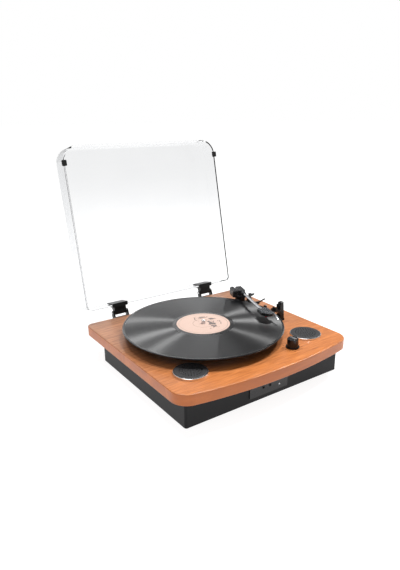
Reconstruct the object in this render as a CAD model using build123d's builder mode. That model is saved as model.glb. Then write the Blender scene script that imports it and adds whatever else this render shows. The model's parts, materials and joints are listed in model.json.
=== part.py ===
"""Belt-drive record player with built-in speakers and a clear hinged lid.

Millimetres, +Z up. The lid stands open, and the origin is on the floor under the middle of the
whole object as it stands like that. +X points to its right seen from the front, +Y to its back.
"""
import os
from math import cos, radians, sin

from build123d import *

os.makedirs("parts", exist_ok=True)

# ---------------------------------------------------------------- driving dimensions
RECORD_R = 150.5
RECORD_HOLE_R = 3.62
LABEL_R = 50.0

BASE_W = 338.0
BASE_FRONT = -206.8
BASE_BACK = 83.7
BASE_WALL = 6.0
FOOT_H = 1.5
DECK_BOTTOM = 47.9
DECK_TOP = 67.2
DECK_W = 372.0
DECK_BACK = 123.0
DECK_FRONT = -237.3
DECK_BOW = 20.0
DECK_FRONT_R = 30.0
DECK_BACK_R = 13.0

SPINDLE_X = -22.2
SPINDLE_Y = -46.8
SPINDLE_R = 3.55
SPINDLE_TIP_R = 3.5
PLATTER_R = 110.0
PLATTER_TOP = 82.9
MAT_TOP = 84.7
RECORD_BOTTOM = 84.75
RECORD_TOP = 87.2
LABEL_TOP = 87.4
BELT_RING_R = 90.0
PULLEY_R = 4.0
BELT_T = 1.0
BELT_GAP = 0.1
BELT_BOTTOM = 71.4
BELT_H = 4.4
MOTOR_ANGLE = 135.0
MOTOR_REACH = 98.5

SPEAKER_X = 129.0
SPEAKER_Y = -162.8
SPEAKER_R = 28.8

KNOB_X = 70.0
KNOB_Y = -189.3
KNOB_H = 18.0
KNOB_R = 10.4
KNOB_FLANGE_R = 12.2

CONTROL_X = 159.0
SPEED_Y = -39.3
AUTO_STOP_Y = -17.3
SOURCE_Y = 38.7

PIVOT_X = 131.5
PIVOT_Y = 32.7
PIVOT_Z = 99.3
ARM_HEADING = -111.0
ARM_RISE = 1.77
TUBE_R = 2.8
TUBE_END = 124.0
COLLAR_END = 27.0
HEAD_START = 122.5
HEAD_END = 161.0
HEAD_IN = -8.0
HEAD_OUT = 14.0
STYLUS_REACH = 147.0
STYLUS_SIDE = 4.0
STYLUS_TIP = -7.0

LIFT_R = 30.0
LIFT_X = 140.0
LIFT_Y = 10.3
CUE_Y = 7.7
CUE_Z = 72.7
CRANK = 2.6
CUE_LEAN = 55.0

REST_X = 140.5
REST_Y = -82.3
REST_TOP = 105.5

LID_W = 354.8
LID_L = 322.0
LID_H = 41.9
LID_T = 2.8
LID_BACK = 116.2
LID_RIM = 70.5
LID_FRONT_R = 30.0
LID_BACK_R = 9.0
LID_OPEN = 102.0
HINGE_X = 107.0
HINGE_W = 34.0
HINGE_Y = 130.9
HINGE_Z = 74.3
PIN_R = 2.0

# ---------------------------------------------------------------- values that follow
BASE_Y = (BASE_FRONT + BASE_BACK) / 2
BASE_D = BASE_BACK - BASE_FRONT
BASE_H = DECK_BOTTOM - FOOT_H
DECK_T = DECK_TOP - DECK_BOTTOM
SPINDLE = (SPINDLE_X, SPINDLE_Y)
MOTOR_X = SPINDLE_X + MOTOR_REACH * cos(radians(MOTOR_ANGLE))
MOTOR_Y = SPINDLE_Y + MOTOR_REACH * sin(radians(MOTOR_ANGLE))
MOTOR = (MOTOR_X, MOTOR_Y)
PIVOT = (PIVOT_X, PIVOT_Y)
HEADING = Vector(cos(radians(ARM_HEADING)), sin(radians(ARM_HEADING)), 0)
ARM_DIR = HEADING * cos(radians(ARM_RISE)) + Vector(0, 0, sin(radians(ARM_RISE)))
ARM_SIDE = Vector(-HEADING.Y, HEADING.X, 0)
ARM_UP = ARM_DIR.cross(ARM_SIDE)
SWING = Plane(origin=(PIVOT_X, PIVOT_Y, 0), x_dir=HEADING, z_dir=(0, 0, 1))
ARM = Plane(origin=(PIVOT_X, PIVOT_Y, PIVOT_Z), x_dir=ARM_DIR, z_dir=ARM_UP)
HINGE_AXIS = Axis((0, HINGE_Y, HINGE_Z), (1, 0, 0))
LID_Y = LID_BACK - LID_L / 2
SPEAKERS = ((-SPEAKER_X, SPEAKER_Y), (SPEAKER_X, SPEAKER_Y))


def save(part, name):
    """Label one finished piece and write its STEP file."""
    part.label = name
    export_step(part, f"parts/{name}.step")


def at(height):
    """A level work plane at the given height."""
    return Plane.XY.offset(height)


def arm_at(along, side=0.0, up=0.0):
    """A plane across the arm: its normal runs along the tube, its Y axis points up."""
    origin = ARM.from_local_coords((along, side, up))
    return Plane(origin=origin, x_dir=ARM_SIDE, z_dir=ARM_DIR)


def arm_level(up):
    """A plane parallel to the arm's own deck, raised by up."""
    return ARM.offset(up)


def swing_level(height):
    """A level plane turned to the arm's heading, with its origin on the swing axis."""
    return SWING.offset(height)


def wall_plane(y):
    """An upright plane facing the front; local X is +X and local Y is up."""
    return Plane(origin=(0, y, 0), x_dir=(1, 0, 0), z_dir=(0, -1, 0))


def side_plane(x):
    """An upright plane facing +X; local X is +Y and local Y is up."""
    return Plane(origin=(x, 0, 0), x_dir=(0, 1, 0), z_dir=(1, 0, 0))


# ---------------------------------------------------------------- deck and cabinet
# The wooden deck has a bowed front edge and rounded corners, with holes for what passes through.
with BuildPart() as deck:
    with BuildSketch(at(DECK_BOTTOM)) as deck_outline:
        with BuildLine():
            half = DECK_W / 2
            corner = DECK_FRONT + DECK_BOW
            Polyline((-half, corner), (-half, DECK_BACK), (half, DECK_BACK), (half, corner))
            ThreePointArc((half, corner), (0, DECK_FRONT), (-half, corner))
        make_face()
        fillet(deck_outline.vertices().group_by(Axis.Y)[-1], DECK_BACK_R)
        fillet(deck_outline.vertices().group_by(Axis.Y)[0], DECK_FRONT_R)
    extrude(amount=DECK_T)
    fillet(deck.faces().sort_by(Axis.Z)[-1].edges(), 1.6)
    fillet(deck.faces().sort_by(Axis.Z)[0].edges(), 1.2)
    with BuildSketch(at(DECK_BOTTOM)):
        with Locations(SPINDLE):
            Circle(9.0)
        with Locations(MOTOR):
            Circle(9.0)
        with Locations(PIVOT):
            Circle(8.2)
        with Locations((KNOB_X, KNOB_Y)):
            Circle(5.0)
        with Locations(*[(CONTROL_X, y) for y in (SPEED_Y, AUTO_STOP_Y, SOURCE_Y)]):
            Rectangle(3.4, 11.0)
        with Locations(*SPEAKERS):
            Circle(24.0)
    extrude(amount=DECK_T, mode=Mode.SUBTRACT)
    with BuildSketch(at(DECK_TOP)):
        with Locations(*SPEAKERS):
            Circle(27.5)
    extrude(amount=-5.0, mode=Mode.SUBTRACT)
save(deck.part, "deck")

# The cabinet is a painted box with no bottom; screw blocks stand in its four corners.
BLOCK_X = BASE_W / 2 - BASE_WALL - 9
BLOCK_Y = BASE_D / 2 - BASE_WALL - 9
with BuildPart() as base_cabinet:
    with BuildSketch(at(FOOT_H)):
        with Locations((0, BASE_Y)):
            RectangleRounded(BASE_W, BASE_D, 4.0)
            RectangleRounded(BASE_W - 2 * BASE_WALL, BASE_D - 2 * BASE_WALL, 2.0, mode=Mode.SUBTRACT)
    extrude(amount=BASE_H)
    with BuildSketch(at(FOOT_H)):
        with Locations((0, BASE_Y)):
            Rectangle(BASE_W - 7.0, BASE_D - 7.0)
    extrude(amount=3.2, mode=Mode.SUBTRACT)
    with BuildSketch(at(FOOT_H + 3.2)):
        with Locations((0, BASE_Y)):
            with GridLocations(2 * BLOCK_X, 2 * BLOCK_Y, 2, 2):
                Rectangle(18.0, 18.0)
                Circle(2.3, mode=Mode.SUBTRACT)
    extrude(amount=BASE_H - 3.2)
    with BuildSketch(wall_plane(BASE_BACK)):
        with Locations((-90, 26)):
            Rectangle(84.0, 22.0)
    extrude(amount=BASE_WALL, mode=Mode.SUBTRACT)
    with BuildSketch(wall_plane(BASE_FRONT)):
        with Locations((0, 25.5)):
            Rectangle(76.0, 24.0)
    extrude(amount=-BASE_WALL, mode=Mode.SUBTRACT)
save(base_cabinet.part, "base_cabinet")

# A thin board closes the cabinet from below.
COVER_BOTTOM = FOOT_H
COVER_T = 3.0
VENT_INSET = 83.0
with BuildPart() as bottom_cover:
    with BuildSketch(at(COVER_BOTTOM)):
        with Locations((0, BASE_Y)):
            Rectangle(BASE_W - 7.6, BASE_D - 7.6)
            with GridLocations(2 * BLOCK_X, 2 * BLOCK_Y, 2, 2):
                Circle(2.3, mode=Mode.SUBTRACT)
    extrude(amount=COVER_T)
    with BuildSketch(at(COVER_BOTTOM)):
        with Locations((0, BASE_BACK - VENT_INSET)):
            with GridLocations(8.0, 12.0, 9, 1):
                SlotOverall(46.0, 3.0, rotation=90)
    extrude(amount=COVER_T, mode=Mode.SUBTRACT)
save(bottom_cover.part, "bottom_cover")

# Four rubber pads carry the weight.
with BuildPart() as feet:
    with BuildSketch(at(0)):
        with Locations((0, BASE_Y)):
            with GridLocations(BASE_W - 62, BASE_D - 62, 2, 2):
                Circle(11.0)
    extrude(amount=FOOT_H)
    chamfer(feet.faces().group_by(Axis.Z)[0].edges(), 0.5)
save(feet.part, "feet")

# Four long screws run through cover and corner blocks into the deck.
SCREW_PILOT = 8.0
with BuildPart() as case_screws:
    with BuildSketch(at(FOOT_H - 1.2)):
        with Locations((0, BASE_Y)):
            with GridLocations(2 * BLOCK_X, 2 * BLOCK_Y, 2, 2):
                Circle(4.0)
    extrude(amount=1.2)
    with BuildSketch(at(FOOT_H)):
        with Locations((0, BASE_Y)):
            with GridLocations(2 * BLOCK_X, 2 * BLOCK_Y, 2, 2):
                Circle(2.0)
    extrude(amount=DECK_BOTTOM - FOOT_H - 0.05)
    with BuildSketch(at(FOOT_H - 1.2)):
        with Locations((0, BASE_Y)):
            with GridLocations(2 * BLOCK_X, 2 * BLOCK_Y, 2, 2):
                Rectangle(4.6, 0.9)
                Rectangle(0.9, 4.6)
    extrude(amount=0.8, mode=Mode.SUBTRACT)
save(case_screws.part, "case_screws")

# ---------------------------------------------------------------- speakers
# Each speaker has a chromed trim ring on the deck, a perforated cap, a paper cone and a frame.
RING_TOP = DECK_TOP + 3.4
with BuildPart() as speaker_rings:
    with BuildSketch(at(DECK_TOP)):
        with Locations(*SPEAKERS):
            Circle(SPEAKER_R)
            Circle(22.0, mode=Mode.SUBTRACT)
    extrude(amount=RING_TOP - DECK_TOP)
    ring_edges = speaker_rings.edges().group_by(Axis.Z)[-1].sort_by(SortBy.LENGTH)
    chamfer(ring_edges[-2:], 0.6)
    with BuildSketch(at(RING_TOP)):
        with Locations(*SPEAKERS):
            Circle(27.2)
    extrude(amount=-1.4, mode=Mode.SUBTRACT)
save(speaker_rings.part, "speaker_rings")

GRILLE_BOTTOM = RING_TOP - 1.35
with BuildPart() as speaker_grilles:
    with BuildSketch(at(GRILLE_BOTTOM)):
        with Locations(*SPEAKERS):
            Circle(27.1)
    extrude(amount=2.2)
    fillet(speaker_grilles.edges().group_by(Axis.Z)[-1], 1.0)
    with BuildSketch(at(GRILLE_BOTTOM)):
        with Locations(*SPEAKERS):
            Circle(1.1)
            for ring, count in ((4.5, 6), (9.0, 12), (13.5, 18), (18.0, 24)):
                with PolarLocations(ring, count):
                    Circle(1.1)
    extrude(amount=2.2, mode=Mode.SUBTRACT)
save(speaker_grilles.part, "speaker_grilles")

with BuildPart() as speaker_frames:
    with BuildSketch(at(DECK_TOP - 4.9)):
        with Locations(*SPEAKERS):
            Circle(27.2)
            Circle(22.5, mode=Mode.SUBTRACT)
    extrude(amount=1.6)
    with BuildSketch(at(DECK_TOP - 18.0)):
        with Locations(*SPEAKERS):
            Circle(23.6)
            Circle(22.4, mode=Mode.SUBTRACT)
    extrude(amount=13.5)
    with BuildSketch(at(DECK_TOP - 19.6)):
        with Locations(*SPEAKERS):
            Circle(23.6)
            Circle(6.0, mode=Mode.SUBTRACT)
    extrude(amount=1.6)
    with BuildSketch(at(DECK_TOP - 32.0)):
        with Locations(*SPEAKERS):
            Circle(17.0)
            Circle(6.0, mode=Mode.SUBTRACT)
    extrude(amount=12.4)
save(speaker_frames.part, "speaker_frames")

CONE = ((0, 6.0), (5.2, 6.6), (5.2, -8.0), (5.8, -8.0), (5.8, 6.2), (20.0, 13.6), (22.0, 13.6),
        (22.0, 14.2), (19.8, 14.2), (5.4, 7.4), (0, 8.0))
with BuildPart() as speaker_cones:
    for side in (-1, 1):
        foot = (side * SPEAKER_X, SPEAKER_Y, DECK_TOP - 18.0)
        middle = Plane(origin=foot, x_dir=(1, 0, 0), z_dir=(0, -1, 0))
        with BuildSketch(middle):
            with BuildLine():
                Polyline(*CONE, close=True)
            make_face()
        revolve(axis=Axis(middle.origin, (0, 0, 1)))
save(speaker_cones.part, "speaker_cones")

# ---------------------------------------------------------------- platter and drive
PLATTER_PLANE = Plane(origin=(SPINDLE_X, SPINDLE_Y, 0), x_dir=(1, 0, 0), z_dir=(0, -1, 0))
PLATTER_AXIS = Axis((SPINDLE_X, SPINDLE_Y, 0), (0, 0, 1))


def turned(name, points):
    """Turn a closed profile of (radius, height) points about the spindle."""
    with BuildPart() as piece:
        with BuildSketch(PLATTER_PLANE):
            with BuildLine():
                Polyline(*points, close=True)
            make_face()
        revolve(axis=PLATTER_AXIS)
    save(piece.part, name)
    return piece.part


# Cast platter: a rim, a web, a ring underneath that carries the belt, and a hub on the spindle.
turned("platter", (
    (SPINDLE_R, 72.0), (14.0, 72.0), (14.0, 77.6), (BELT_RING_R - 6, 77.6), (BELT_RING_R - 6, 70.6),
    (BELT_RING_R, 70.6), (BELT_RING_R, 77.6), (PLATTER_R - 3, 77.6), (PLATTER_R - 3, 71.0),
    (PLATTER_R - 0.8, 71.0), (PLATTER_R, 71.8), (PLATTER_R, PLATTER_TOP - 1),
    (PLATTER_R - 1, PLATTER_TOP), (SPINDLE_R, PLATTER_TOP)))
turned("slip_mat", ((4.2, PLATTER_TOP), (107.0, PLATTER_TOP), (107.0, MAT_TOP), (4.2, MAT_TOP)))
# The spindle centres the record on its full radius; the free end above the label is a little thinner.
turned("spindle", (
    (0, 44.0), (SPINDLE_R - 0.5, 44.0), (SPINDLE_R, 44.5), (SPINDLE_R, LABEL_TOP),
    (SPINDLE_TIP_R, LABEL_TOP + 0.6), (SPINDLE_TIP_R, 93.0), (SPINDLE_TIP_R - 0.5, 94.4), (1.6, 95.2),
    (0, 95.4)))
# Twelve-inch disc: raised label land and rim bead on both faces, with a thinner grooved area.
GROOVE_IN = 58.0
BEAD = 4.0
turned("record_disc", (
    (RECORD_HOLE_R, RECORD_BOTTOM), (LABEL_R + 1, RECORD_BOTTOM), (GROOVE_IN, RECORD_BOTTOM + 0.3),
    (RECORD_R - BEAD, RECORD_BOTTOM + 0.3), (RECORD_R - 2, RECORD_BOTTOM),
    (RECORD_R - 0.6, RECORD_BOTTOM + 0.2), (RECORD_R, RECORD_BOTTOM + 1.2),
    (RECORD_R - 0.6, RECORD_TOP - 0.2), (RECORD_R - 2, RECORD_TOP),
    (RECORD_R - BEAD, RECORD_TOP - 0.3), (GROOVE_IN, RECORD_TOP - 0.3), (LABEL_R + 1, RECORD_TOP),
    (RECORD_HOLE_R, RECORD_TOP)))
turned("record_label", (
    (RECORD_HOLE_R + 0.1, RECORD_TOP), (LABEL_R, RECORD_TOP), (LABEL_R, LABEL_TOP),
    (RECORD_HOLE_R + 0.1, LABEL_TOP)))
# Brass bearing tube with a flange on the deck, closed by a thrust cap below.
BUSH_R = SPINDLE_R + 0.05
turned("platter_bearing", (
    (BUSH_R, DECK_TOP - 24.0), (8.0, DECK_TOP - 24.0), (8.0, DECK_TOP), (15.0, DECK_TOP),
    (15.0, DECK_TOP + 2.0), (BUSH_R, DECK_TOP + 2.0)))
turned("thrust_cap", (
    (0, 38.0), (9.5, 38.0), (9.5, 47.0), (8.05, 47.0), (8.05, 43.15), (3.0, 43.15), (3.0, 43.95), (0, 43.95)))

# Belt: a flat loop round the platter ring and the motor pulley.


def belt_outline(plane, swell):
    """The loop's outline, standing off the ring and the pulley by swell."""
    with BuildSketch(plane) as outline:
        with Locations(SPINDLE):
            Circle(BELT_RING_R + swell)
        with Locations(MOTOR):
            Circle(PULLEY_R + swell)
        make_hull()
    return outline.sketch


belt_outer = belt_outline(at(BELT_BOTTOM), BELT_GAP + BELT_T)
belt_inner = belt_outline(at(BELT_BOTTOM), BELT_GAP)
with BuildPart() as drive_belt:
    extrude(belt_outer, amount=BELT_H)
    extrude(belt_inner, amount=BELT_H, mode=Mode.SUBTRACT)
save(drive_belt.part, "drive_belt")

MOTOR_TOP = 45.5
with BuildPart() as motor_pulley:
    with BuildSketch(at(MOTOR_TOP - 10)):
        with Locations(MOTOR):
            Circle(1.0)
    extrude(amount=77.0 - MOTOR_TOP + 10)
    for bottom, radius, height in ((60.0, PULLEY_R, 16.9), (BELT_BOTTOM - 0.9, PULLEY_R + 1.6, 0.7),
                                   (BELT_BOTTOM + BELT_H + 0.2, PULLEY_R + 1.6, 0.7)):
        with BuildSketch(at(bottom)):
            with Locations(MOTOR):
                Circle(radius)
        extrude(amount=height)
save(motor_pulley.part, "motor_pulley")

with BuildPart() as motor:
    with BuildSketch(at(21.0)):
        with Locations(MOTOR):
            Circle(17.5)
    extrude(amount=MOTOR_TOP - 21.0)
    fillet(motor.faces().group_by(Axis.Z)[0].edges(), 2.0)
    with BuildSketch(at(MOTOR_TOP - 11)):
        with Locations(MOTOR):
            Circle(1.05)
    extrude(amount=11.0, mode=Mode.SUBTRACT)
save(motor.part, "motor")

MOTOR_EARS = 25.0
with BuildPart() as motor_plate:
    with BuildSketch(at(MOTOR_TOP)):
        with Locations(MOTOR):
            SlotCenterToCenter(2 * MOTOR_EARS, 18.0, rotation=45)
            Circle(19.0)
            Circle(6.0, mode=Mode.SUBTRACT)
            with PolarLocations(MOTOR_EARS, 2, start_angle=45):
                Circle(4.1, mode=Mode.SUBTRACT)
    extrude(amount=1.2)
save(motor_plate.part, "motor_plate")

with BuildPart() as motor_grommets:
    with BuildSketch(at(MOTOR_TOP - 1.2)):
        with Locations(MOTOR):
            with PolarLocations(MOTOR_EARS, 2, start_angle=45):
                Circle(6.0)
                Circle(1.8, mode=Mode.SUBTRACT)
    extrude(amount=DECK_BOTTOM - MOTOR_TOP + 1.2)
    with BuildSketch(at(MOTOR_TOP)):
        with Locations(MOTOR):
            with PolarLocations(MOTOR_EARS, 2, start_angle=45):
                Circle(6.5)
                Circle(4.0, mode=Mode.SUBTRACT)
    extrude(amount=1.2, mode=Mode.SUBTRACT)
save(motor_grommets.part, "motor_grommets")

with BuildPart() as motor_screws:
    with BuildSketch(at(MOTOR_TOP - 3.2)):
        with Locations(MOTOR):
            with PolarLocations(MOTOR_EARS, 2, start_angle=45):
                Circle(3.6)
    extrude(amount=2.0)
    with BuildSketch(at(MOTOR_TOP - 3.2)):
        with Locations(MOTOR):
            with PolarLocations(MOTOR_EARS, 2, start_angle=45):
                Circle(1.6)
    extrude(amount=DECK_BOTTOM - MOTOR_TOP + 3.15)
save(motor_screws.part, "motor_screws")

# ---------------------------------------------------------------- tonearm, fixed parts
# Base column: a flange on the deck, a tube through it, and a bore for the swing shaft.
YOKE_BOTTOM = 89.5
SHAFT_R = 4.0
with BuildPart() as tonearm_base:
    for bottom, radius, top in ((46.0, 8.0, DECK_TOP), (DECK_TOP, 15.5, DECK_TOP + 4),
                                (DECK_TOP + 4, 11.0, YOKE_BOTTOM - 0.3)):
        with BuildSketch(at(bottom)):
            with Locations(PIVOT):
                Circle(radius)
        extrude(amount=top - bottom)
    fillet(tonearm_base.edges().filter_by(GeomType.CIRCLE).group_by(Axis.Z)[-2], 1.0)
    with BuildSketch(at(58.0)):
        with Locations(PIVOT):
            Circle(SHAFT_R + 0.05)
    extrude(amount=YOKE_BOTTOM - 58.0, mode=Mode.SUBTRACT)
save(tonearm_base.part, "tonearm_base")

# Lift bracket: guides the lift plunger and carries the cue lever's shaft.
GUIDE_X = 12.0
with BuildPart() as lift_bracket:
    with BuildSketch(at(DECK_TOP)):
        with Locations(((LIFT_X - GUIDE_X / 2 + 156) / 2, CUE_Y + 1)):
            Rectangle(156 - LIFT_X + GUIDE_X / 2, 15.0)
    extrude(amount=1.6)
    with BuildSketch(at(DECK_TOP + 1.6)):
        with Locations((LIFT_X, CUE_Y + 1)):
            Rectangle(GUIDE_X, 15.0)
        with Locations((154.5, CUE_Y)):
            Rectangle(3.0, 9.0)
    extrude(amount=6.8)
    with BuildSketch(at(DECK_TOP + 8.4)):
        with Locations((LIFT_X, CUE_Y + 1)):
            Rectangle(GUIDE_X, 15.0)
    extrude(amount=1.6)
    with BuildSketch(at(DECK_TOP + 10)):
        with Locations((LIFT_X, LIFT_Y)):
            Circle(4.8)
    extrude(amount=9.0)
    with BuildSketch(side_plane(LIFT_X - GUIDE_X / 2)):
        with Locations((CUE_Y + 1, DECK_TOP + 5.0)):
            Rectangle(10.6, 6.8)
    extrude(amount=GUIDE_X, mode=Mode.SUBTRACT)
    with BuildSketch(side_plane(152.0)):
        with Locations((CUE_Y, CUE_Z)):
            Circle(1.55)
    extrude(amount=5.0, mode=Mode.SUBTRACT)
    with BuildSketch(at(DECK_TOP + 8.0)):
        with Locations((LIFT_X, LIFT_Y)):
            Circle(2.55)
    extrude(amount=12.0, mode=Mode.SUBTRACT)
save(lift_bracket.part, "lift_bracket")

# Arm rest: a tall tapering post with a cradle on the side that faces the arm.
CRADLE_TOP = 97.0
CRADLE_FLOOR = 91.5
POST_HALF = 6.0
with BuildPart() as arm_rest:
    with BuildSketch(at(DECK_TOP)):
        with Locations((REST_X - 2.5, REST_Y)):
            RectangleRounded(2 * POST_HALF + 8, 2 * POST_HALF, 2.0)
    extrude(amount=4.0)
    with BuildSketch(at(DECK_TOP + 4)):
        with Locations((REST_X, REST_Y)):
            RectangleRounded(2 * POST_HALF, 2 * POST_HALF, 2.0)
    with BuildSketch(at(REST_TOP)):
        with Locations((REST_X + 0.5, REST_Y)):
            RectangleRounded(2 * POST_HALF - 3, 2 * POST_HALF - 3, 2.0)
    loft()
    with BuildSketch(wall_plane(REST_Y - POST_HALF + 0.5)):
        with BuildLine():
            Polyline((124.0, 88.8), (128.0, 88.8), (136.2, 80.0), (136.2, CRADLE_TOP + 4),
                     (134.7, CRADLE_TOP + 4), (134.7, CRADLE_FLOOR), (126.8, CRADLE_FLOOR),
                     (126.8, CRADLE_TOP), (124.0, CRADLE_TOP), close=True)
        make_face()
    extrude(amount=-(2 * POST_HALF - 1))
    fillet(arm_rest.faces().sort_by(Axis.Z)[-1].edges(), 0.8)
save(arm_rest.part, "arm_rest")

# ---------------------------------------------------------------- tonearm, moving parts
CHEEK_IN = -20.0
CHEEK_OUT = -10.0
HOUSING_OUT = 7.0
HOUSING_BACK = -14.5
HOUSING_FRONT = 13.5


def chamfered_block(plane, x_range, y_range, height, edge=2.4):
    """A block standing on a plane, its top edges cut back at an angle all round."""
    width = x_range[1] - x_range[0]
    depth = y_range[1] - y_range[0]
    middle = (sum(x_range) / 2, sum(y_range) / 2)
    with BuildPart() as block:
        with BuildSketch(plane):
            with Locations(middle):
                RectangleRounded(width, depth, edge)
        extrude(amount=height - edge)
        with BuildSketch(plane.offset(height - edge)):
            with Locations(middle):
                RectangleRounded(width, depth, edge)
        with BuildSketch(plane.offset(height)):
            with Locations(middle):
                RectangleRounded(width - 2 * edge, depth - 2 * edge, 0.6)
        loft()
    return block.part


# The yoke swings on its shaft; a cheek beside the arm's housing holds the cross pin.
CHEEK_PLANE = Plane(
    origin=SWING.from_local_coords((0, CHEEK_OUT, PIVOT_Z)), x_dir=HEADING, z_dir=-ARM_SIDE)
cheek_block = chamfered_block(
    swing_level(YOKE_BOTTOM + 3), (HOUSING_BACK, HOUSING_FRONT), (CHEEK_IN, CHEEK_OUT),
    PIVOT_Z + 6.4 - YOKE_BOTTOM - 3)
with BuildPart() as arm_yoke:
    with BuildSketch(swing_level(YOKE_BOTTOM)):
        with Locations((-0.5, (CHEEK_IN + HOUSING_OUT) / 2)):
            RectangleRounded(27.0, HOUSING_OUT - CHEEK_IN, 3.0)
    extrude(amount=3.0)
    add(cheek_block)
    with BuildSketch(swing_level(60.0)):
        Circle(SHAFT_R)
    extrude(amount=YOKE_BOTTOM - 60.0)
    with BuildSketch(CHEEK_PLANE):
        Circle(1.52)
    extrude(amount=7.0, mode=Mode.SUBTRACT)
save(arm_yoke.part, "arm_yoke")

with BuildPart() as gimbal_pin:
    with BuildSketch(CHEEK_PLANE.offset(6.9)):
        Circle(1.5)
    extrude(amount=-21.0)
save(gimbal_pin.part, "gimbal_pin")

# The housing carries tube and counterweight, and pitches on the cross pin.
housing_block = chamfered_block(
    arm_level(-5.6), (HOUSING_BACK, HOUSING_FRONT), (CHEEK_OUT + 2.0, HOUSING_OUT), 12.0)
with BuildPart() as arm_housing:
    add(housing_block)
    with BuildSketch(arm_at(HOUSING_FRONT)):
        Circle(4.2)
    extrude(amount=COLLAR_END - HOUSING_FRONT)
    with BuildSketch(arm_at(4.0)):
        Circle(TUBE_R + 0.02)
    extrude(amount=COLLAR_END - 4.0, mode=Mode.SUBTRACT)
    with BuildSketch(arm_level(-5.6)):
        with Locations((-8.0, -0.5)):
            Rectangle(9.0, 11.0)
    extrude(amount=8.0, mode=Mode.SUBTRACT)
    with BuildSketch(CHEEK_PLANE):
        Circle(1.55)
    extrude(amount=-16.0, mode=Mode.SUBTRACT)
save(arm_housing.part, "arm_housing")

with BuildPart() as counterweight:
    with BuildSketch(arm_level(-5.3)):
        with Locations((-8.0, -0.5)):
            Rectangle(8.8, 10.8)
    extrude(amount=7.6)
save(counterweight.part, "counterweight")

with BuildPart() as arm_tube:
    with BuildSketch(arm_at(4.2)):
        Circle(TUBE_R)
        Circle(TUBE_R - 0.6, mode=Mode.SUBTRACT)
    extrude(amount=HEAD_START + 8.0 - 4.2)
save(arm_tube.part, "arm_tube")

# Headshell: a black tray round the tube's end, with a metal plate on top.
HEAD_UNDER = -3.6
HEAD_DECK = 1.2


def head_outline(plane, shrink):
    """The headshell's outline on a plane of the arm, drawn in by shrink."""
    back = HEAD_START + shrink
    front = HEAD_END - shrink
    inner = HEAD_IN + shrink
    outer = HEAD_OUT - shrink
    with BuildSketch(plane) as outline:
        with BuildLine():
            Polyline((back, inner + 4.5), (back + 5, inner), (front - 10, inner), (front, inner + 8.5),
                     (front, outer - 4), (front - 4, outer), (back + 5, outer), (back, outer - 5), close=True)
        make_face()
    return outline.sketch


shell_outline = head_outline(arm_level(HEAD_UNDER), 0.0)
plate_outline = head_outline(arm_level(HEAD_DECK), 0.6)
with BuildPart() as headshell:
    extrude(shell_outline, amount=HEAD_DECK - HEAD_UNDER)
    with BuildSketch(arm_level(HEAD_UNDER)):
        with Locations((STYLUS_REACH - 3, STYLUS_SIDE)):
            Rectangle(20.2, 14.2)
    extrude(amount=3.0, mode=Mode.SUBTRACT)
    with BuildSketch(arm_at(HEAD_START)):
        Circle(TUBE_R + 0.02)
    extrude(amount=8.1, mode=Mode.SUBTRACT)
save(headshell.part, "headshell")

with BuildPart() as headshell_plate:
    extrude(plate_outline, amount=1.0)
    with BuildSketch(arm_level(HEAD_DECK)):
        with Locations((STYLUS_REACH - 4, 8.0)):
            SlotOverall(14.0, 1.4)
    extrude(amount=1.0, mode=Mode.SUBTRACT)
    with BuildSketch(arm_at(HEAD_START)):
        Circle(TUBE_R + 0.02)
    extrude(amount=8.1, mode=Mode.SUBTRACT)
save(headshell_plate.part, "headshell_plate")

with BuildPart() as cartridge:
    with BuildSketch(arm_level(HEAD_UNDER - 1.6)):
        with Locations((STYLUS_REACH - 3, STYLUS_SIDE)):
            RectangleRounded(20.0, 14.0, 1.0)
    extrude(amount=4.5)
save(cartridge.part, "cartridge")

# The red stylus holder hangs below the cartridge, with a needle at its middle.
HOLDER_DECK = HEAD_UNDER - 1.6
with BuildPart() as stylus:
    with BuildSketch(arm_level(HOLDER_DECK - 1.0)):
        with Locations((STYLUS_REACH + 1, STYLUS_SIDE)):
            RectangleRounded(14.0, 12.0, 1.0)
    extrude(amount=1.0)
    with BuildSketch(arm_level(HOLDER_DECK - 1.0)):
        with Locations((STYLUS_REACH, STYLUS_SIDE)):
            Circle(0.7)
    with BuildSketch(arm_level(STYLUS_TIP)):
        with Locations((STYLUS_REACH, STYLUS_SIDE)):
            Circle(0.15)
    loft()
save(stylus.part, "stylus")

# A curved metal finger lift reaches forward from the headshell's outer edge.
FINGER_PLANE = Plane(
    origin=ARM.from_local_coords((0, HEAD_OUT + 0.05, 0)), x_dir=ARM_DIR, z_dir=-ARM_SIDE)
with BuildPart() as finger_lift:
    with BuildSketch(FINGER_PLANE):
        with BuildLine():
            upper = Spline(
                (HEAD_END - 16, -0.4), (HEAD_END - 2, -0.6), (HEAD_END + 7, -2.2), (HEAD_END + 14, -5.2))
            lower = Spline(
                (HEAD_END - 16, -1.8), (HEAD_END - 2, -2.0), (HEAD_END + 6.4, -3.5), (HEAD_END + 13, -6.3))
            Line(upper @ 0, lower @ 0)
            Line(upper @ 1, lower @ 1)
        make_face()
    extrude(amount=-3.0)
save(finger_lift.part, "finger_lift")

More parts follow.
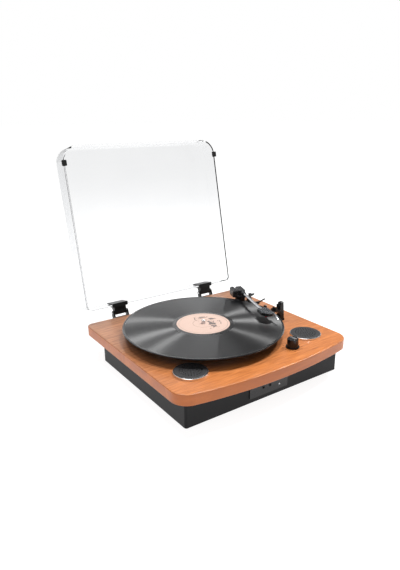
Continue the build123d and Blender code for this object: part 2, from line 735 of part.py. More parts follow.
# Lift platform: a curved bar under the tube, on a plunger that the cue lever's crank raises.
BAR_TOP = PIVOT_Z + LIFT_R * sin(radians(ARM_RISE)) - TUBE_R - 0.35
BAR_T = 2.4
BAR_FROM = -142.0
BAR_TO = -58.0
CRANK_PIN_R = 1.0
with BuildPart() as lift_platform:
    with BuildSketch(at(BAR_TOP - BAR_T)):
        with BuildLine():
            outer = CenterArc(PIVOT, LIFT_R + 2, BAR_FROM, BAR_TO - BAR_FROM)
            inner = CenterArc(PIVOT, LIFT_R - 2, BAR_FROM, BAR_TO - BAR_FROM)
            Line(outer @ 0, inner @ 0)
            Line(outer @ 1, inner @ 1)
        make_face()
        with Locations((LIFT_X, LIFT_Y - 1)):
            Rectangle(6.0, 8.0)
    extrude(amount=BAR_T)
    with BuildSketch(at(CUE_Z + CRANK_PIN_R + 0.05)):
        with Locations((LIFT_X, LIFT_Y)):
            Circle(2.5)
    extrude(amount=BAR_TOP - BAR_T - CUE_Z - CRANK_PIN_R)
save(lift_platform.part, "lift_platform")

# Cue lever: a handle leaning forward on a cross shaft, with a crank pin under the plunger.
LEVER_DIR = Vector(0, -sin(radians(CUE_LEAN)), cos(radians(CUE_LEAN)))
LEVER_ROOT = Plane(origin=(160.0, CUE_Y, CUE_Z), x_dir=(1, 0, 0), z_dir=LEVER_DIR)
with BuildPart() as cue_lever:
    with BuildSketch(side_plane(LIFT_X + 3.2)):
        with Locations((CUE_Y, CUE_Z)):
            Circle(1.5)
    extrude(amount=162.5 - LIFT_X - 3.2)
    with BuildSketch(side_plane(LIFT_X + 3.2)):
        with Locations((CUE_Y + CRANK / 2, CUE_Z)):
            SlotOverall(CRANK + 3.0, 3.0)
    extrude(amount=1.8)
    with BuildSketch(side_plane(LIFT_X - 3.5)):
        with Locations((CUE_Y + CRANK, CUE_Z)):
            Circle(CRANK_PIN_R)
    extrude(amount=7.0)
    with BuildSketch(side_plane(157.5)):
        with Locations((CUE_Y, CUE_Z)):
            Circle(3.4)
    extrude(amount=5.0)
    with BuildSketch(LEVER_ROOT):
        Ellipse(1.9, 1.5)
    with BuildSketch(LEVER_ROOT.offset(25.0)):
        Ellipse(2.4, 1.6)
    loft()
save(cue_lever.part, "cue_lever")

# ---------------------------------------------------------------- knob and switches
FLUTES = 18
with BuildPart() as volume_knob:
    for bottom, radius, height in ((DECK_TOP + 0.6, KNOB_FLANGE_R, 1.6),
                                   (DECK_TOP + 2.2, KNOB_R, KNOB_H - 3.2)):
        with BuildSketch(at(bottom)):
            with Locations((KNOB_X, KNOB_Y)):
                Circle(radius)
        extrude(amount=height, taper=3 if radius == KNOB_R else 0)
    fillet(volume_knob.faces().sort_by(Axis.Z)[-1].edges(), 0.8)
    with BuildSketch(at(DECK_TOP + 4.0)):
        with Locations((KNOB_X, KNOB_Y)):
            with PolarLocations(KNOB_R + 0.1, FLUTES):
                Circle(0.8)
    extrude(amount=KNOB_H, mode=Mode.SUBTRACT)
    with BuildSketch(at(DECK_TOP + 0.6)):
        with Locations((KNOB_X, KNOB_Y)):
            Circle(3.02)
    extrude(amount=12.0, mode=Mode.SUBTRACT)
    with BuildSketch(at(DECK_TOP + KNOB_H - 2.0)):
        with Locations((KNOB_X, KNOB_Y)):
            Polygon((-2.6, -7.0), (2.6, -7.0), (0.7, 8.0), (-0.7, 8.0), align=None)
    extrude(amount=2.0, mode=Mode.SUBTRACT)
save(volume_knob.part, "volume_knob")

with BuildPart() as knob_pointer:
    with BuildSketch(at(DECK_TOP + KNOB_H - 2.0)):
        with Locations((KNOB_X, KNOB_Y)):
            Polygon((-2.5, -6.9), (2.5, -6.9), (0.65, 7.9), (-0.65, 7.9), align=None)
    extrude(amount=2.4)
save(knob_pointer.part, "knob_pointer")

with BuildPart() as volume_shaft:
    with BuildSketch(at(40.0)):
        with Locations((KNOB_X, KNOB_Y)):
            Circle(3.0)
    extrude(amount=DECK_TOP + 12.4 - 40.0)
save(volume_shaft.part, "volume_shaft")

with BuildPart() as volume_pot:
    with BuildSketch(at(38.0)):
        with Locations((KNOB_X, KNOB_Y)):
            Circle(8.5)
    extrude(amount=DECK_BOTTOM - 38.1)
    with BuildSketch(at(DECK_BOTTOM - 0.1)):
        with Locations((KNOB_X, KNOB_Y)):
            Circle(4.7)
    extrude(amount=DECK_T - 0.4)
    with BuildSketch(at(39.8)):
        with Locations((KNOB_X, KNOB_Y)):
            Circle(3.05)
    extrude(amount=40.0, mode=Mode.SUBTRACT)
save(volume_pot.part, "volume_pot")

CAP_H = 6.0
for name, place in (("speed_switch", SPEED_Y), ("auto_stop_switch", AUTO_STOP_Y), ("source_switch", SOURCE_Y)):
    with BuildPart() as switch_cap:
        with BuildSketch(at(DECK_TOP + 1.0)):
            with Locations((CONTROL_X, place)):
                RectangleRounded(6.0, 5.0, 1.0)
        extrude(amount=CAP_H)
        fillet(switch_cap.faces().sort_by(Axis.Z)[-1].edges(), 0.6)
        with BuildSketch(at(44.0)):
            with Locations((CONTROL_X, place)):
                Rectangle(2.4, 3.6)
        extrude(amount=DECK_TOP + 1.0 - 44.0)
    save(switch_cap.part, name)

with BuildPart() as switch_bezels:
    with BuildSketch(at(DECK_TOP)):
        with Locations(*[(CONTROL_X, y) for y in (SPEED_Y, AUTO_STOP_Y, SOURCE_Y)]):
            RectangleRounded(8.0, 15.0, 1.5)
            Rectangle(3.2, 10.8, mode=Mode.SUBTRACT)
    extrude(amount=0.7)
save(switch_bezels.part, "switch_bezels")

with BuildPart() as switch_bodies:
    with BuildSketch(at(38.0)):
        with Locations(*[(CONTROL_X, y) for y in (SPEED_Y, AUTO_STOP_Y, SOURCE_Y)]):
            Rectangle(7.0, 16.0)
    extrude(amount=DECK_BOTTOM - 38.0)
    with BuildSketch(at(43.0)):
        with Locations(*[(CONTROL_X, y) for y in (SPEED_Y, AUTO_STOP_Y, SOURCE_Y)]):
            Rectangle(3.4, 11.0)
    extrude(amount=10.0, mode=Mode.SUBTRACT)
save(switch_bodies.part, "switch_bodies")

# ---------------------------------------------------------------- electronics
JACK_X = -12.7
JACK_Z = 23.0
AUX_X = 2.0
LED_X = 23.0
LED_Z = 18.5
PANEL_W = 85.0
with BuildPart() as front_panel:
    with BuildSketch(wall_plane(BASE_FRONT)):
        with Locations((0, 25.5)):
            RectangleRounded(PANEL_W, 32.0, 1.5)
        with Locations((JACK_X, JACK_Z), (AUX_X, JACK_Z)):
            Circle(3.1, mode=Mode.SUBTRACT)
        with Locations((LED_X, LED_Z)):
            Circle(1.6, mode=Mode.SUBTRACT)
    extrude(amount=1.5)
save(front_panel.part, "front_panel")

with BuildPart() as front_jacks:
    with BuildSketch(wall_plane(BASE_FRONT - 1.8)):
        with Locations((JACK_X, JACK_Z), (AUX_X, JACK_Z)):
            Circle(3.0)
    extrude(amount=-6.0)
    with BuildSketch(wall_plane(BASE_FRONT + 4.2)):
        with Locations((JACK_X, JACK_Z), (AUX_X, JACK_Z)):
            Rectangle(8.0, 8.0)
    extrude(amount=-12.0)
    with BuildSketch(wall_plane(BASE_FRONT - 1.8)):
        with Locations((JACK_X, JACK_Z), (AUX_X, JACK_Z)):
            Circle(1.8)
    extrude(amount=-16.0, mode=Mode.SUBTRACT)
save(front_jacks.part, "front_jacks")

with BuildPart() as power_led:
    with BuildSketch(wall_plane(BASE_FRONT - 1.9)):
        with Locations((LED_X, LED_Z)):
            Circle(1.5)
    extrude(amount=-9.0)
save(power_led.part, "power_led")

BOARD_Z = 8.0
BOARD_Y = BASE_FRONT + 47.5
with BuildPart() as main_board:
    with BuildSketch(at(BOARD_Z)):
        with Locations((0, BOARD_Y)):
            Rectangle(120.0, 66.0)
    extrude(amount=1.6)
    with BuildSketch(at(BOARD_Z + 1.6)):
        with Locations(*[(x, BOARD_Y + 10) for x in (-40, -26, -12)]):
            Circle(5.0)
    extrude(amount=14.0)
    with BuildSketch(at(BOARD_Z + 1.6)):
        with Locations((25, BOARD_Y + 5)):
            Rectangle(14.0, 10.0)
        with Locations((25, BOARD_Y + 22)):
            Rectangle(28.0, 8.0)
    extrude(amount=3.0)
    with BuildSketch(at(COVER_BOTTOM + COVER_T)):
        with Locations((0, BOARD_Y)):
            with GridLocations(110.0, 56.0, 2, 2):
                Circle(2.5)
    extrude(amount=BOARD_Z - COVER_BOTTOM - COVER_T)
save(main_board.part, "main_board")

RCA_X = (-112.0, -97.0)
DC_X = -68.0
REAR_Z = 26.0
with BuildPart() as rear_panel:
    with BuildSketch(wall_plane(BASE_BACK)):
        with Locations((-90, REAR_Z)):
            RectangleRounded(94.0, 30.0, 2.0)
        with Locations(*[(x, REAR_Z) for x in RCA_X]):
            Circle(4.3, mode=Mode.SUBTRACT)
        with Locations((DC_X, REAR_Z)):
            Circle(4.3, mode=Mode.SUBTRACT)
    extrude(amount=-1.5)
save(rear_panel.part, "rear_panel")

# Each phono socket: a body in the panel, a collar outside it, a narrow relief, then the plug's sleeve.
SOCKET_TURNS = ((-8.0, 9.6, 4.2), (1.6, 1.2, 5.2), (2.8, 0.4, 3.8), (3.2, 6.7, 4.1))
with BuildPart() as phono_sockets:
    for out, length, radius in SOCKET_TURNS:
        with BuildSketch(wall_plane(BASE_BACK + out)):
            with Locations(*[(x, REAR_Z) for x in RCA_X]):
                Circle(radius)
        extrude(amount=-length)
    with BuildSketch(wall_plane(BASE_BACK + 9.9)):
        with Locations(*[(x, REAR_Z) for x in RCA_X]):
            Circle(1.65)
    extrude(amount=12.0, mode=Mode.SUBTRACT)
save(phono_sockets.part, "phono_sockets")

with BuildPart() as power_inlet:
    with BuildSketch(wall_plane(BASE_BACK - 12)):
        with Locations((DC_X, REAR_Z)):
            Circle(4.2)
    extrude(amount=-14.0)
    with BuildSketch(wall_plane(BASE_BACK + 2.0)):
        with Locations((DC_X, REAR_Z)):
            Circle(2.8)
    extrude(amount=10.0, mode=Mode.SUBTRACT)
    with BuildSketch(wall_plane(BASE_BACK - 8.1)):
        with Locations((DC_X, REAR_Z)):
            Circle(1.0)
    extrude(amount=-9.0)
save(power_inlet.part, "power_inlet")

# ---------------------------------------------------------------- lid and hinges
# The lid is drawn closed over the deck, then turned open about the hinge axis.


def opened(part):
    """The part as it stands with the lid open."""
    return part.rotate(HINGE_AXIS, -LID_OPEN)


def lid_outline(plane, inset):
    """The lid's outline seen from above, drawn in by inset."""
    with BuildSketch(plane) as outline:
        with Locations((0, LID_Y)):
            Rectangle(LID_W - 2 * inset, LID_L - 2 * inset)
        corners = outline.vertices()
        fillet(corners.group_by(Axis.Y)[-1], LID_BACK_R - inset)
        fillet(outline.vertices().group_by(Axis.Y)[0], LID_FRONT_R - inset)
    return outline.sketch


lid_outer = lid_outline(at(LID_RIM), 0.0)
lid_inner = lid_outline(at(LID_RIM), LID_T)
with BuildPart() as lid:
    extrude(lid_outer, amount=LID_H)
    fillet(lid.faces().sort_by(Axis.Z)[-1].edges(), 4.5)
    extrude(lid_inner, amount=LID_H - LID_T, mode=Mode.SUBTRACT)
save(opened(lid.part), "lid")

# Two square rubber pads sit under the lid's rim, just behind its rounded front corners.
BUMPER_Y = LID_BACK - LID_L + LID_FRONT_R + 2.0
BUMPER_X = LID_W / 2 - LID_T / 2
with BuildPart() as lid_bumpers:
    with BuildSketch(at(DECK_TOP + 0.1)):
        with Locations((-BUMPER_X, BUMPER_Y), (BUMPER_X, BUMPER_Y)):
            RectangleRounded(9.0, 11.0, 1.5)
    extrude(amount=LID_RIM - DECK_TOP - 0.1)
save(opened(lid_bumpers.part), "lid_bumpers")

WALL_IN = LID_BACK - LID_T
LEAF_IN = WALL_IN - 0.3
LEAF_OUT = LID_BACK + 0.3
WEB_BOTTOM = LID_RIM - 3.0
WEB_TOP = LID_RIM - 0.3
NECK_W = 26.0
FORK = ((LEAF_IN - 2.2, WEB_BOTTOM), (LEAF_OUT + 2.2, WEB_BOTTOM), (LEAF_OUT + 2.2, LID_RIM + 18),
        (LEAF_OUT, LID_RIM + 18), (LEAF_OUT, WEB_TOP), (LEAF_IN, WEB_TOP), (LEAF_IN, LID_RIM + 23),
        (LEAF_IN - 2.2, LID_RIM + 23))
NECK = ((LEAF_OUT + 2.0, WEB_BOTTOM + 2.3), (HINGE_Y, HINGE_Z - 4.5), (HINGE_Y, HINGE_Z + 4.5),
        (LEAF_OUT + 2.0, LID_RIM + 13))
for side_name, side in (("left", -1), ("right", 1)):
    middle = side * HINGE_X
    with BuildPart() as hinge_fork:
        with BuildSketch(side_plane(middle - HINGE_W / 2)):
            with BuildLine():
                Polyline(*FORK, close=True)
            make_face()
        extrude(amount=HINGE_W)
        with BuildSketch(side_plane(middle - NECK_W / 2)):
            with BuildLine():
                Polyline(*NECK, close=True)
            make_face()
            with Locations((HINGE_Y, HINGE_Z)):
                Circle(4.5)
        extrude(amount=NECK_W)
        with BuildSketch(side_plane(middle - NECK_W / 2)):
            with Locations((HINGE_Y, HINGE_Z)):
                Circle(PIN_R + 0.05)
        extrude(amount=NECK_W, mode=Mode.SUBTRACT)
    save(opened(hinge_fork.part), f"hinge_fork_{side_name}")

# Each fixed bracket is screwed to the deck's back edge; two ears hold the pin.
EAR = ((DECK_BACK, DECK_BOTTOM + 2), (DECK_BACK + 2.5, DECK_BOTTOM + 2), (HINGE_Y + 4.5, HINGE_Z - 2),
       (HINGE_Y + 4.5, HINGE_Z), (HINGE_Y - 4.5, HINGE_Z), (DECK_BACK, DECK_TOP + 0.5))
with BuildPart() as hinge_brackets:
    for side in (-1, 1):
        middle = side * HINGE_X
        with BuildSketch(side_plane(middle - HINGE_W / 2)):
            with BuildLine():
                Polyline(*EAR, close=True)
            make_face()
            with Locations((HINGE_Y, HINGE_Z)):
                Circle(4.5)
        extrude(amount=HINGE_W)
        with BuildSketch(side_plane(middle - NECK_W / 2 - 0.5)):
            with Locations((DECK_BACK + 2.5 + 15, HINGE_Z)):
                Rectangle(30.0, 60.0)
            with Locations((DECK_BACK, HINGE_Z)):
                Rectangle(20.0, 2 * (HINGE_Z - DECK_TOP) + 0.4)
        extrude(amount=NECK_W + 1.0, mode=Mode.SUBTRACT)
        with BuildSketch(side_plane(middle - HINGE_W / 2)):
            with Locations((HINGE_Y, HINGE_Z)):
                Circle(PIN_R + 0.05)
        extrude(amount=HINGE_W, mode=Mode.SUBTRACT)
    with BuildSketch(wall_plane(DECK_BACK)):
        with Locations(*[(side * HINGE_X + dx, DECK_BOTTOM + 9.5) for side in (-1, 1) for dx in (-8, 8)]):
            Circle(1.7)
    extrude(amount=-5.0, mode=Mode.SUBTRACT)
save(hinge_brackets.part, "hinge_brackets")

with BuildPart() as hinge_pins:
    for side in (-1, 1):
        with BuildSketch(side_plane(side * HINGE_X - HINGE_W / 2 - 0.6)):
            with Locations((HINGE_Y, HINGE_Z)):
                Circle(PIN_R)
        extrude(amount=HINGE_W + 1.2)
save(hinge_pins.part, "hinge_pins")

with BuildPart() as hinge_screws:
    with BuildSketch(wall_plane(DECK_BACK + 2.5)):
        with Locations(*[(side * HINGE_X + dx, DECK_BOTTOM + 9.5) for side in (-1, 1) for dx in (-8, 8)]):
            Circle(3.0)
    extrude(amount=-1.6)
    with BuildSketch(wall_plane(DECK_BACK + 2.5)):
        with Locations(*[(side * HINGE_X + dx, DECK_BOTTOM + 9.5) for side in (-1, 1) for dx in (-8, 8)]):
            Circle(1.5)
    extrude(amount=2.4)
    with BuildSketch(wall_plane(DECK_BACK + 4.1)):
        with Locations(*[(side * HINGE_X + dx, DECK_BOTTOM + 9.5) for side in (-1, 1) for dx in (-8, 8)]):
            Rectangle(3.6, 0.8)
            Rectangle(0.8, 3.6)
    extrude(amount=0.8, mode=Mode.SUBTRACT)
save(hinge_screws.part, "hinge_screws")
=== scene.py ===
"""Looks of the record player: materials, small trim, camera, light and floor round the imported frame."""
import json
import math

import bmesh
import bpy
from mathutils import Matrix, Vector


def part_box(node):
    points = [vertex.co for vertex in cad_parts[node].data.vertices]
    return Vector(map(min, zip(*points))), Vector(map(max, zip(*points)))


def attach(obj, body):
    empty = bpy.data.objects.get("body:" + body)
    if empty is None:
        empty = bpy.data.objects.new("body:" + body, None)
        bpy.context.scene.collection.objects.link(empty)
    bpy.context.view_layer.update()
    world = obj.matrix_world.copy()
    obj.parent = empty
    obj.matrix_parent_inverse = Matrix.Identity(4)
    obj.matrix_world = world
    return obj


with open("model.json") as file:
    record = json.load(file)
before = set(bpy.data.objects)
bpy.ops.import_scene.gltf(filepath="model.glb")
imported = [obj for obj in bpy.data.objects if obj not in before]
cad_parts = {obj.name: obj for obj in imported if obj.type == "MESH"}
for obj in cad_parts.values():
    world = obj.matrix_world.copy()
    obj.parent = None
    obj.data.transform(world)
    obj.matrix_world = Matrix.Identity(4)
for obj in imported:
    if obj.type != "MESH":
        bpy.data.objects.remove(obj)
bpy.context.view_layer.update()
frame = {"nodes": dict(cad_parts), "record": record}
nodes = frame["nodes"]
MM = 0.001


# ---------------------------------------------------------------- node helpers
class Look:
    """One procedural material, with short calls for the nodes that every surface here uses."""

    def __init__(self, name, **sockets):
        self.material = bpy.data.materials.new(name)
        self.material.use_nodes = True
        self.tree = self.material.node_tree
        self.shader = self.tree.nodes["Principled BSDF"]
        self.coordinates = self.node("ShaderNodeTexCoord").outputs["Object"]
        for label, value in sockets.items():
            self.shader.inputs[label.replace("_", " ")].default_value = value

    def node(self, kind, **values):
        made = self.tree.nodes.new(kind)
        for key, value in values.items():
            setattr(made, key, value)
        return made

    def join(self, source, target):
        self.tree.links.new(source, target)

    def place(self, origin=(0, 0, 0), scale=(1, 1, 1)):
        """Coordinates in metres, moved so that origin is zero and then scaled."""
        mapping = self.node("ShaderNodeMapping")
        mapping.inputs["Location"].default_value = [-o * s for o, s in zip(origin, scale)]
        mapping.inputs["Scale"].default_value = scale
        self.join(self.coordinates, mapping.inputs["Vector"])
        return mapping.outputs["Vector"]

    def noise(self, vector, scale, detail=4.0, roughness=0.55, distortion=0.0):
        made = self.node("ShaderNodeTexNoise")
        for label, value in (("Scale", scale), ("Detail", detail), ("Roughness", roughness),
                             ("Distortion", distortion)):
            made.inputs[label].default_value = value
        self.join(vector, made.inputs["Vector"])
        return made.outputs["Fac"]

    def math(self, operation, first, second=0.5):
        made = self.node("ShaderNodeMath", operation=operation)
        for index, value in enumerate((first, second)):
            if isinstance(value, (int, float)):
                made.inputs[index].default_value = value
            else:
                self.join(value, made.inputs[index])
        return made.outputs[0]

    def ramp(self, factor, stops):
        made = self.node("ShaderNodeValToRGB")
        elements = made.color_ramp.elements
        while len(elements) < len(stops):
            elements.new(0.5)
        for element, (position, colour) in zip(elements, stops):
            element.position = position
            element.color = (*colour, 1)
        self.join(factor, made.inputs["Fac"])
        return made.outputs["Color"]

    def mix(self, factor, first, second):
        made = self.node("ShaderNodeMix", data_type="RGBA")
        self.join(factor, made.inputs["Factor"])
        for label, value in ((6, first), (7, second)):
            if isinstance(value, tuple):
                made.inputs[label].default_value = (*value, 1)
            else:
                self.join(value, made.inputs[label])
        return made.outputs[2]

    def spread(self, factor, low, high):
        """A number that runs from low to high as factor runs from 0 to 1."""
        made = self.node("ShaderNodeMapRange")
        made.inputs["To Min"].default_value = low
        made.inputs["To Max"].default_value = high
        self.join(factor, made.inputs["Value"])
        return made.outputs["Result"]

    def colour(self, source):
        self.join(source, self.shader.inputs["Base Color"])

    def roughness(self, source):
        self.join(source, self.shader.inputs["Roughness"])

    def bump(self, height, strength, depth):
        made = self.node("ShaderNodeBump")
        made.inputs["Strength"].default_value = strength
        made.inputs["Distance"].default_value = depth
        self.join(height, made.inputs["Height"])
        self.join(made.outputs["Normal"], self.shader.inputs["Normal"])


def radius_from(look, centre):
    """Distance in metres from an upright axis through centre."""
    moved = look.place(origin=(centre.x, centre.y, 0), scale=(1, 1, 0))
    length = look.node("ShaderNodeVectorMath", operation="LENGTH")
    look.join(moved, length.inputs[0])
    return length.outputs["Value"]


# ---------------------------------------------------------------- materials
VENEER_DEPTH = 0.8 * MM
GROOVES_FROM = 57.5 * MM
GROOVES_TO = 146.5 * MM
LABEL_LINES = (45.8 * MM, 19.5 * MM)
LABEL_LINE_HALF = 0.35 * MM
CRESCENT_FROM = 11.0 * MM
CRESCENT_TO = 34.0 * MM
CRESCENT_LEFT = -4.0 * MM
LID_INDEX = 1.22


def speckled(name, dark, light, grain, rough, depth, metal=0.0, **sockets):
    """A moulded, painted or cast surface: faint mottling, fine grain and uneven gloss."""
    look = Look(name, Metallic=metal, **sockets)
    vector = look.place()
    cloud = look.noise(vector, 28.0, detail=5)
    fine = look.noise(vector, grain, detail=3)
    look.colour(look.ramp(cloud, ((0.3, dark), (0.7, light))))
    look.roughness(look.spread(fine, rough - 0.06, rough + 0.08))
    look.bump(fine, 0.35, depth)
    return look.material


def brushed(name, dark, light, stretch, rough, metal=1.0):
    """Metal worked in one direction, with fine lines along the least stretched axis."""
    look = Look(name, Metallic=metal)
    lines = look.noise(look.place(scale=stretch), 1.0, detail=6, roughness=0.7)
    cloud = look.noise(look.place(), 60.0, detail=2)
    look.colour(look.ramp(cloud, ((0.25, dark), (0.75, light))))
    look.roughness(look.spread(lines, rough - 0.07, rough + 0.12))
    look.bump(lines, 0.15, 0.00004)
    return look.material


def varnished_wood(low, high):
    """Fine-grained veneer with its grain across the deck, an orange edge band, and a painted sheen that turns
    the top paler and browner towards the back.
    """
    look = Look("wood", Coat_Weight=0.35, Coat_Roughness=0.22, Coat_IOR=1.5, Specular_IOR_Level=0.45)
    flow = look.noise(look.place(scale=(6, 34, 34)), 1.0, detail=4, distortion=0.7)
    fibre = look.noise(look.place(scale=(26, 330, 330)), 1.0, detail=7, roughness=0.66)
    pores = look.noise(look.place(scale=(160, 2600, 2600)), 1.0, detail=2)
    broad = look.ramp(flow, ((0.30, (0.34, 0.088, 0.008)), (0.52, (0.52, 0.145, 0.014)),
                             (0.74, (0.40, 0.105, 0.010))))
    fine = look.ramp(fibre, ((0.32, (0.20, 0.044, 0.004)), (0.62, (0.62, 0.200, 0.024))))
    blended = look.node("ShaderNodeMix", data_type="RGBA")
    blended.inputs["Factor"].default_value = 0.42
    look.join(broad, blended.inputs[6])
    look.join(fine, blended.inputs[7])
    position = look.node("ShaderNodeSeparateXYZ")
    look.join(look.place(origin=low, scale=(1, 1 / (high.y - low.y), 1)), position.inputs[0])
    # Painted sheen: from front to back the top is blended into this paler, pinker grain colour. It stands in
    # for the white studio mirrored in the varnish at a grazing view.
    pale_sheen_grain = look.ramp(fibre, ((0.30, (0.120, 0.055, 0.030)), (0.66, (0.360, 0.185, 0.110))))
    on_top = look.math("GREATER_THAN", position.outputs["Z"], high.z - low.z - VENEER_DEPTH)
    painted_sheen_to_back = look.spread(position.outputs["Y"], 0.20, 1.0)
    edge_band = look.ramp(flow, ((0.35, (0.42, 0.096, 0.006)), (0.65, (0.56, 0.142, 0.010))))
    top = look.mix(painted_sheen_to_back, blended.outputs[2], pale_sheen_grain)
    toned = look.mix(on_top, edge_band, top)
    pore_mask = look.math("LESS_THAN", pores, 0.335)
    look.colour(look.mix(look.math("MULTIPLY", pore_mask, 0.45), toned, (0.16, 0.050, 0.012)))
    look.roughness(look.spread(fibre, 0.34, 0.46))
    look.bump(look.math("MULTIPLY", fibre, pores), 0.22, 0.00006)
    return look.material


def record_vinyl(centre):
    """Pressed grooves: the walls blur light into streaks, and the flat land between them mirrors."""
    look = Look("vinyl", Specular_IOR_Level=0.75, Anisotropic=1.0, Coat_Weight=0.45, Coat_Roughness=0.05)
    distance = radius_from(look, centre)
    tangent = look.node("ShaderNodeTangent", direction_type="RADIAL", axis="Z")
    look.join(tangent.outputs["Tangent"], look.shader.inputs["Tangent"])
    rings = look.node("ShaderNodeTexNoise", noise_dimensions="1D")
    rings.inputs["Scale"].default_value = 520.0
    rings.inputs["Detail"].default_value = 3.0
    look.join(distance, rings.inputs["W"])
    tracks = look.node("ShaderNodeTexNoise", noise_dimensions="1D")
    tracks.inputs["Scale"].default_value = 95.0
    look.join(distance, tracks.inputs["W"])
    grooved = look.math("MULTIPLY", look.math("GREATER_THAN", distance, GROOVES_FROM),
                        look.math("LESS_THAN", distance, GROOVES_TO))
    tone = look.ramp(tracks.outputs["Fac"], ((0.35, (0.0015, 0.0015, 0.0018)),
                                             (0.65, (0.0040, 0.0040, 0.0045))))
    look.colour(look.mix(grooved, (0.006, 0.006, 0.0065), tone))
    smooth_to_cut = look.spread(tracks.outputs["Fac"], 0.36, 0.46)
    look.roughness(look.math("ADD", look.math("MULTIPLY", grooved, smooth_to_cut),
                             look.math("MULTIPLY", look.math("SUBTRACT", 1.0, grooved), 0.20)))
    look.bump(look.math("MULTIPLY", rings.outputs["Fac"], grooved), 0.30, 0.00008)
    return look.material


def label_paper(centre):
    """Peach label: paper fibre, a plain marbled crescent and two printed hairlines. No lettering."""
    look = Look("label_paper", Roughness=0.55)
    distance = radius_from(look, centre)
    fibre = look.noise(look.place(), 900.0, detail=4)
    paper = look.ramp(fibre, ((0.35, (0.40, 0.285, 0.235)), (0.65, (0.47, 0.340, 0.285))))
    line = 0.0
    for ring in LABEL_LINES:
        offset = look.math("ABSOLUTE", look.math("SUBTRACT", distance, ring))
        near = look.math("LESS_THAN", offset, LABEL_LINE_HALF)
        line = look.math("MAXIMUM", near, line)
    marble = look.math("GREATER_THAN", look.noise(look.place(), 70.0, detail=3, distortion=0.8), 0.52)
    moved = look.node("ShaderNodeSeparateXYZ")
    look.join(look.place(origin=(centre.x, centre.y, 0)), moved.inputs[0])
    right_half = look.math("GREATER_THAN", moved.outputs["X"], CRESCENT_LEFT)
    band = look.math("MULTIPLY", look.math("GREATER_THAN", distance, CRESCENT_FROM),
                     look.math("LESS_THAN", distance, CRESCENT_TO))
    crescent = look.math("MULTIPLY", marble, look.math("MULTIPLY", band, right_half))
    printed = look.mix(look.math("MULTIPLY", crescent, 0.85), paper, (0.045, 0.040, 0.042))
    look.colour(look.mix(look.math("MULTIPLY", line, 0.8), printed, (0.12, 0.085, 0.075)))
    look.bump(look.math("ADD", look.math("MULTIPLY", fibre, 0.3), line), 0.25, 0.00005)
    return look.material


def clear_acrylic():
    """Clear moulded plastic, a little grey. Its index was chosen for looks: real acrylic's is 1.49."""
    look = Look("lid_clear", Transmission_Weight=1.0, IOR=LID_INDEX, Roughness=0.012)
    haze = look.noise(look.place(), 7.0, detail=2)
    look.colour(look.ramp(haze, ((0.3, (0.850, 0.855, 0.862)), (0.7, (0.875, 0.880, 0.885)))))
    look.bump(haze, 0.05, 0.0004)
    return look.material


def concentric_metal(name, centre, tone, rough):
    """Turned metal: fine rings about an upright axis."""
    look = Look(name, Metallic=1.0)
    rings = look.node("ShaderNodeTexNoise", noise_dimensions="1D")
    rings.inputs["Scale"].default_value = 1500.0
    look.join(radius_from(look, centre), rings.inputs["W"])
    look.colour(look.ramp(rings.outputs["Fac"], ((0.3, tuple(0.85 * t for t in tone)), (0.7, tone))))
    look.roughness(look.spread(rings.outputs["Fac"], rough - 0.05, rough + 0.08))
    look.bump(rings.outputs["Fac"], 0.2, 0.00003)
    return look.material


def middle(node):
    low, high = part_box(node)
    return (low + high) / 2


